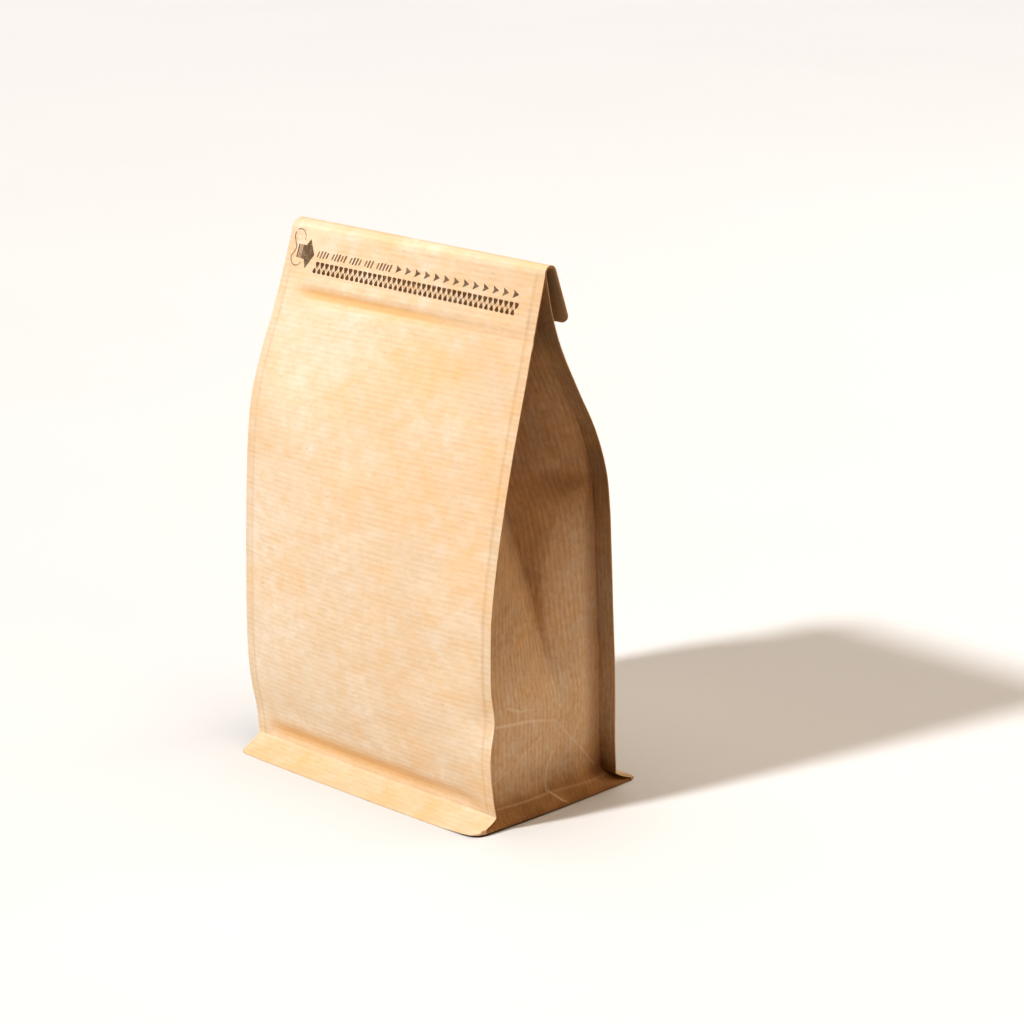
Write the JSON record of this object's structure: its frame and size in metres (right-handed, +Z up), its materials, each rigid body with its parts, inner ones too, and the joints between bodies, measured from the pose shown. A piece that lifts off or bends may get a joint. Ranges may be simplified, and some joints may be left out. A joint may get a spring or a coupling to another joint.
{
  "type": "coffee bag",
  "caption": "Shut stand-up coffee bag of ribbed brown kraft paper: flat base with a sealed skirt, folded side gussets, finned edges and a top folded over to the back.",
  "frame": {"origin": "on the floor, in the middle of the bag's footprint", "axes": "+Z up the bag's height, -Y out of the front panel, +X to the right as the front is seen"},
  "size_m": [0.14, 0.0936, 0.2164],
  "materials": {
    "kraft_paper": "matt ribbed kraft paper with a faint sheen, fine fibres and soft creases",
    "print_ink": "thin dark brown ink printed on the paper below the top fold"
  },
  "bodies": {
    "root": {"coffee_bag": "kraft_paper"}
  },
  "joints": []
}
